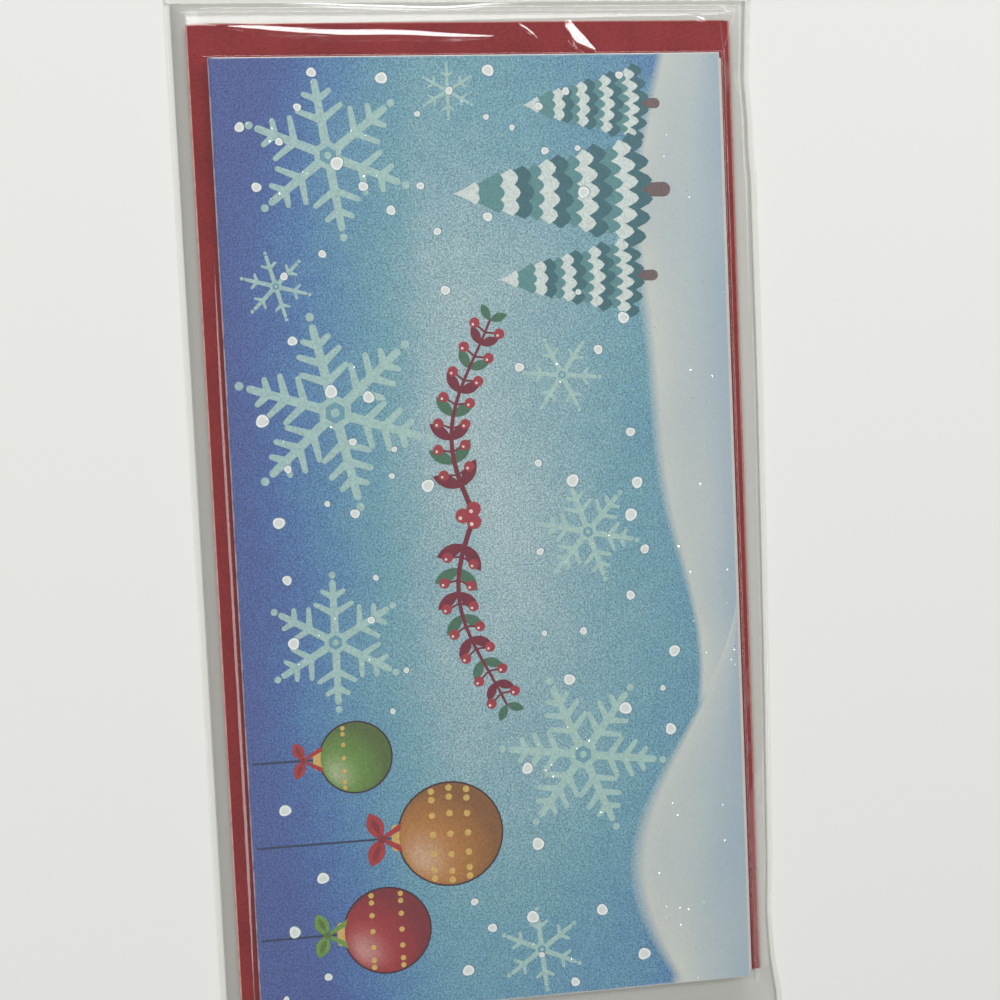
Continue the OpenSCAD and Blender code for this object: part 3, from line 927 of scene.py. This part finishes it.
def lip_height(x, y):
    """The lip lies flat but for a slow wave beside its bend, on the part that never lies on the card."""
    between = np.clip((x - mouth - 1) / (wave_end - mouth - 1), 0, 1)
    return film / 2 + 0.25 * np.sin(np.pi * between) ** 2 * (1 + ripple(x, y, 14, 6))


along = stops_between((mouth, lip_end - lip_corner, 60), (lip_end - lip_corner, lip_end, 24))
lip = film_grid("sleeve_closing_lip", along, stops_between((-side_edge, side_edge, 80)), lip_height)
for v in lip.data.vertices:
    past = max(0.0, v.co.x / mm - lip_end + lip_corner)
    drawn = lip_corner - math.sqrt(max(0.0, lip_corner ** 2 - past ** 2))
    v.co.y = max(-1.0, min(1.0, v.co.y / (side_edge * mm))) * (side_edge - drawn) * mm
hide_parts("sleeve_lip_fold", "sleeve_lip")
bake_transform(lip)

# Pressure-sensitive adhesive: a clear rubbery coat, faintly yellow and dragged into streaks
adhesive, tree = new_material("clear_adhesive_coat")
place = place_in_mm(tree)
drag = add(tree, "ShaderNodeMapping", {"Vector": place, "Scale": (1.0, 0.12, 1.0)}).outputs[0]
streaks = grains(tree, drag, 0.9, detail=3)
body = add(tree, "ShaderNodeMapRange", {0: streaks, 3: 0.16, 4: 0.4}).outputs[0]
surface = add(tree, "ShaderNodeBsdfPrincipled", {
    "Base Color": linear("#dcd9c8"), "Roughness": 0.22, "Alpha": body, "Normal": tooth(tree, drag, 0.4)})
add(tree, "ShaderNodeOutputMaterial", {0: surface.outputs[0]})
finish_node("adhesive_strip", adhesive)


# The studio
# A pale floor, soft light all round, and the camera that took the photograph. Three strip lamps draw
# the long glints on the film, and a broad key and fill light the paper.
def lamp(name, heading, height, distance, wide, tall, radiance):
    """A rectangular lamp aimed at the card. heading turns from +X, and height is above the horizon."""
    a, e = math.radians(heading), math.radians(height)
    at = Vector((math.cos(a) * math.cos(e), math.sin(a) * math.cos(e), math.sin(e))) * distance
    data = bpy.data.lights.new(name, "AREA")
    data.shape = "RECTANGLE"
    data.size, data.size_y = wide, tall
    data.energy = radiance * math.pi * wide * tall
    made = bpy.data.objects.new(name, data)
    made.location = at
    made.rotation_euler = (-at).to_track_quat("-Z", "Y").to_euler()
    bpy.context.scene.collection.objects.link(made)


lamp("mouth_strip", 0, 27.1, 1.2, 1.27, 0.17, 12)
lamp("overhead_strip", 0, 59, 1.2, 1.2, 0.16, 4)
lamp("key", 105, 51, 1.0, 0.6, 0.6, 3.0)
lamp("fill", 300, 42, 1.0, 0.45, 0.45, 4.3)
lamp("side_strip", 250, 33.2, 1.2, 1.0, 0.06, 5)

world_light = 0.23
world = bpy.data.worlds.new("studio")
bpy.context.scene.world = world
world.use_nodes = True
world.node_tree.nodes["Background"].inputs[0].default_value = (1, 1, 1, 1)
world.node_tree.nodes["Background"].inputs[1].default_value = world_light

# Painted board: pale, matt and even, so that it only shows the soft shadow
floor_paint, tree = new_material("pale_floor")
surface = add(tree, "ShaderNodeBsdfPrincipled", {"Base Color": linear("#e2e2de"), "Roughness": 0.9})
add(tree, "ShaderNodeOutputMaterial", {0: surface.outputs[0]})
floor_gap = 0.02
bm = bmesh.new()
bmesh.ops.create_grid(bm, x_segments=1, y_segments=1, size=2.5)
bmesh.ops.translate(bm, vec=(0, 0, -floor_gap * mm), verts=bm.verts)
mesh = bpy.data.meshes.new("floor")
bm.to_mesh(mesh)
bm.free()
mesh.materials.append(floor_paint)
floor = bpy.data.objects.new("floor", mesh)
bpy.context.scene.collection.objects.link(floor)

camera_at = Vector((18.73, 22.75, 221.85)) * mm
camera_aim = Vector((6.46, -2.01, 3.04)) * mm
camera_roll = math.radians(-2.54)
back = (camera_at - camera_aim).normalized()
right = Vector((1, 0, 0)).cross(back).normalized()
up = back.cross(right)
across_view = right * math.cos(camera_roll) + up * math.sin(camera_roll)
up_view = up * math.cos(camera_roll) - right * math.sin(camera_roll)
turned = Matrix((across_view, up_view, back)).transposed().to_4x4()
camera = bpy.data.objects.new("camera", bpy.data.cameras.new("camera"))
camera.matrix_world = Matrix.Translation(camera_at) @ turned
camera.data.lens = 45
camera.data.sensor_width = 36
camera.data.clip_start = 0.01
bpy.context.scene.collection.objects.link(camera)
bpy.context.scene.camera = camera
bpy.context.scene.view_settings.view_transform = "Standard"
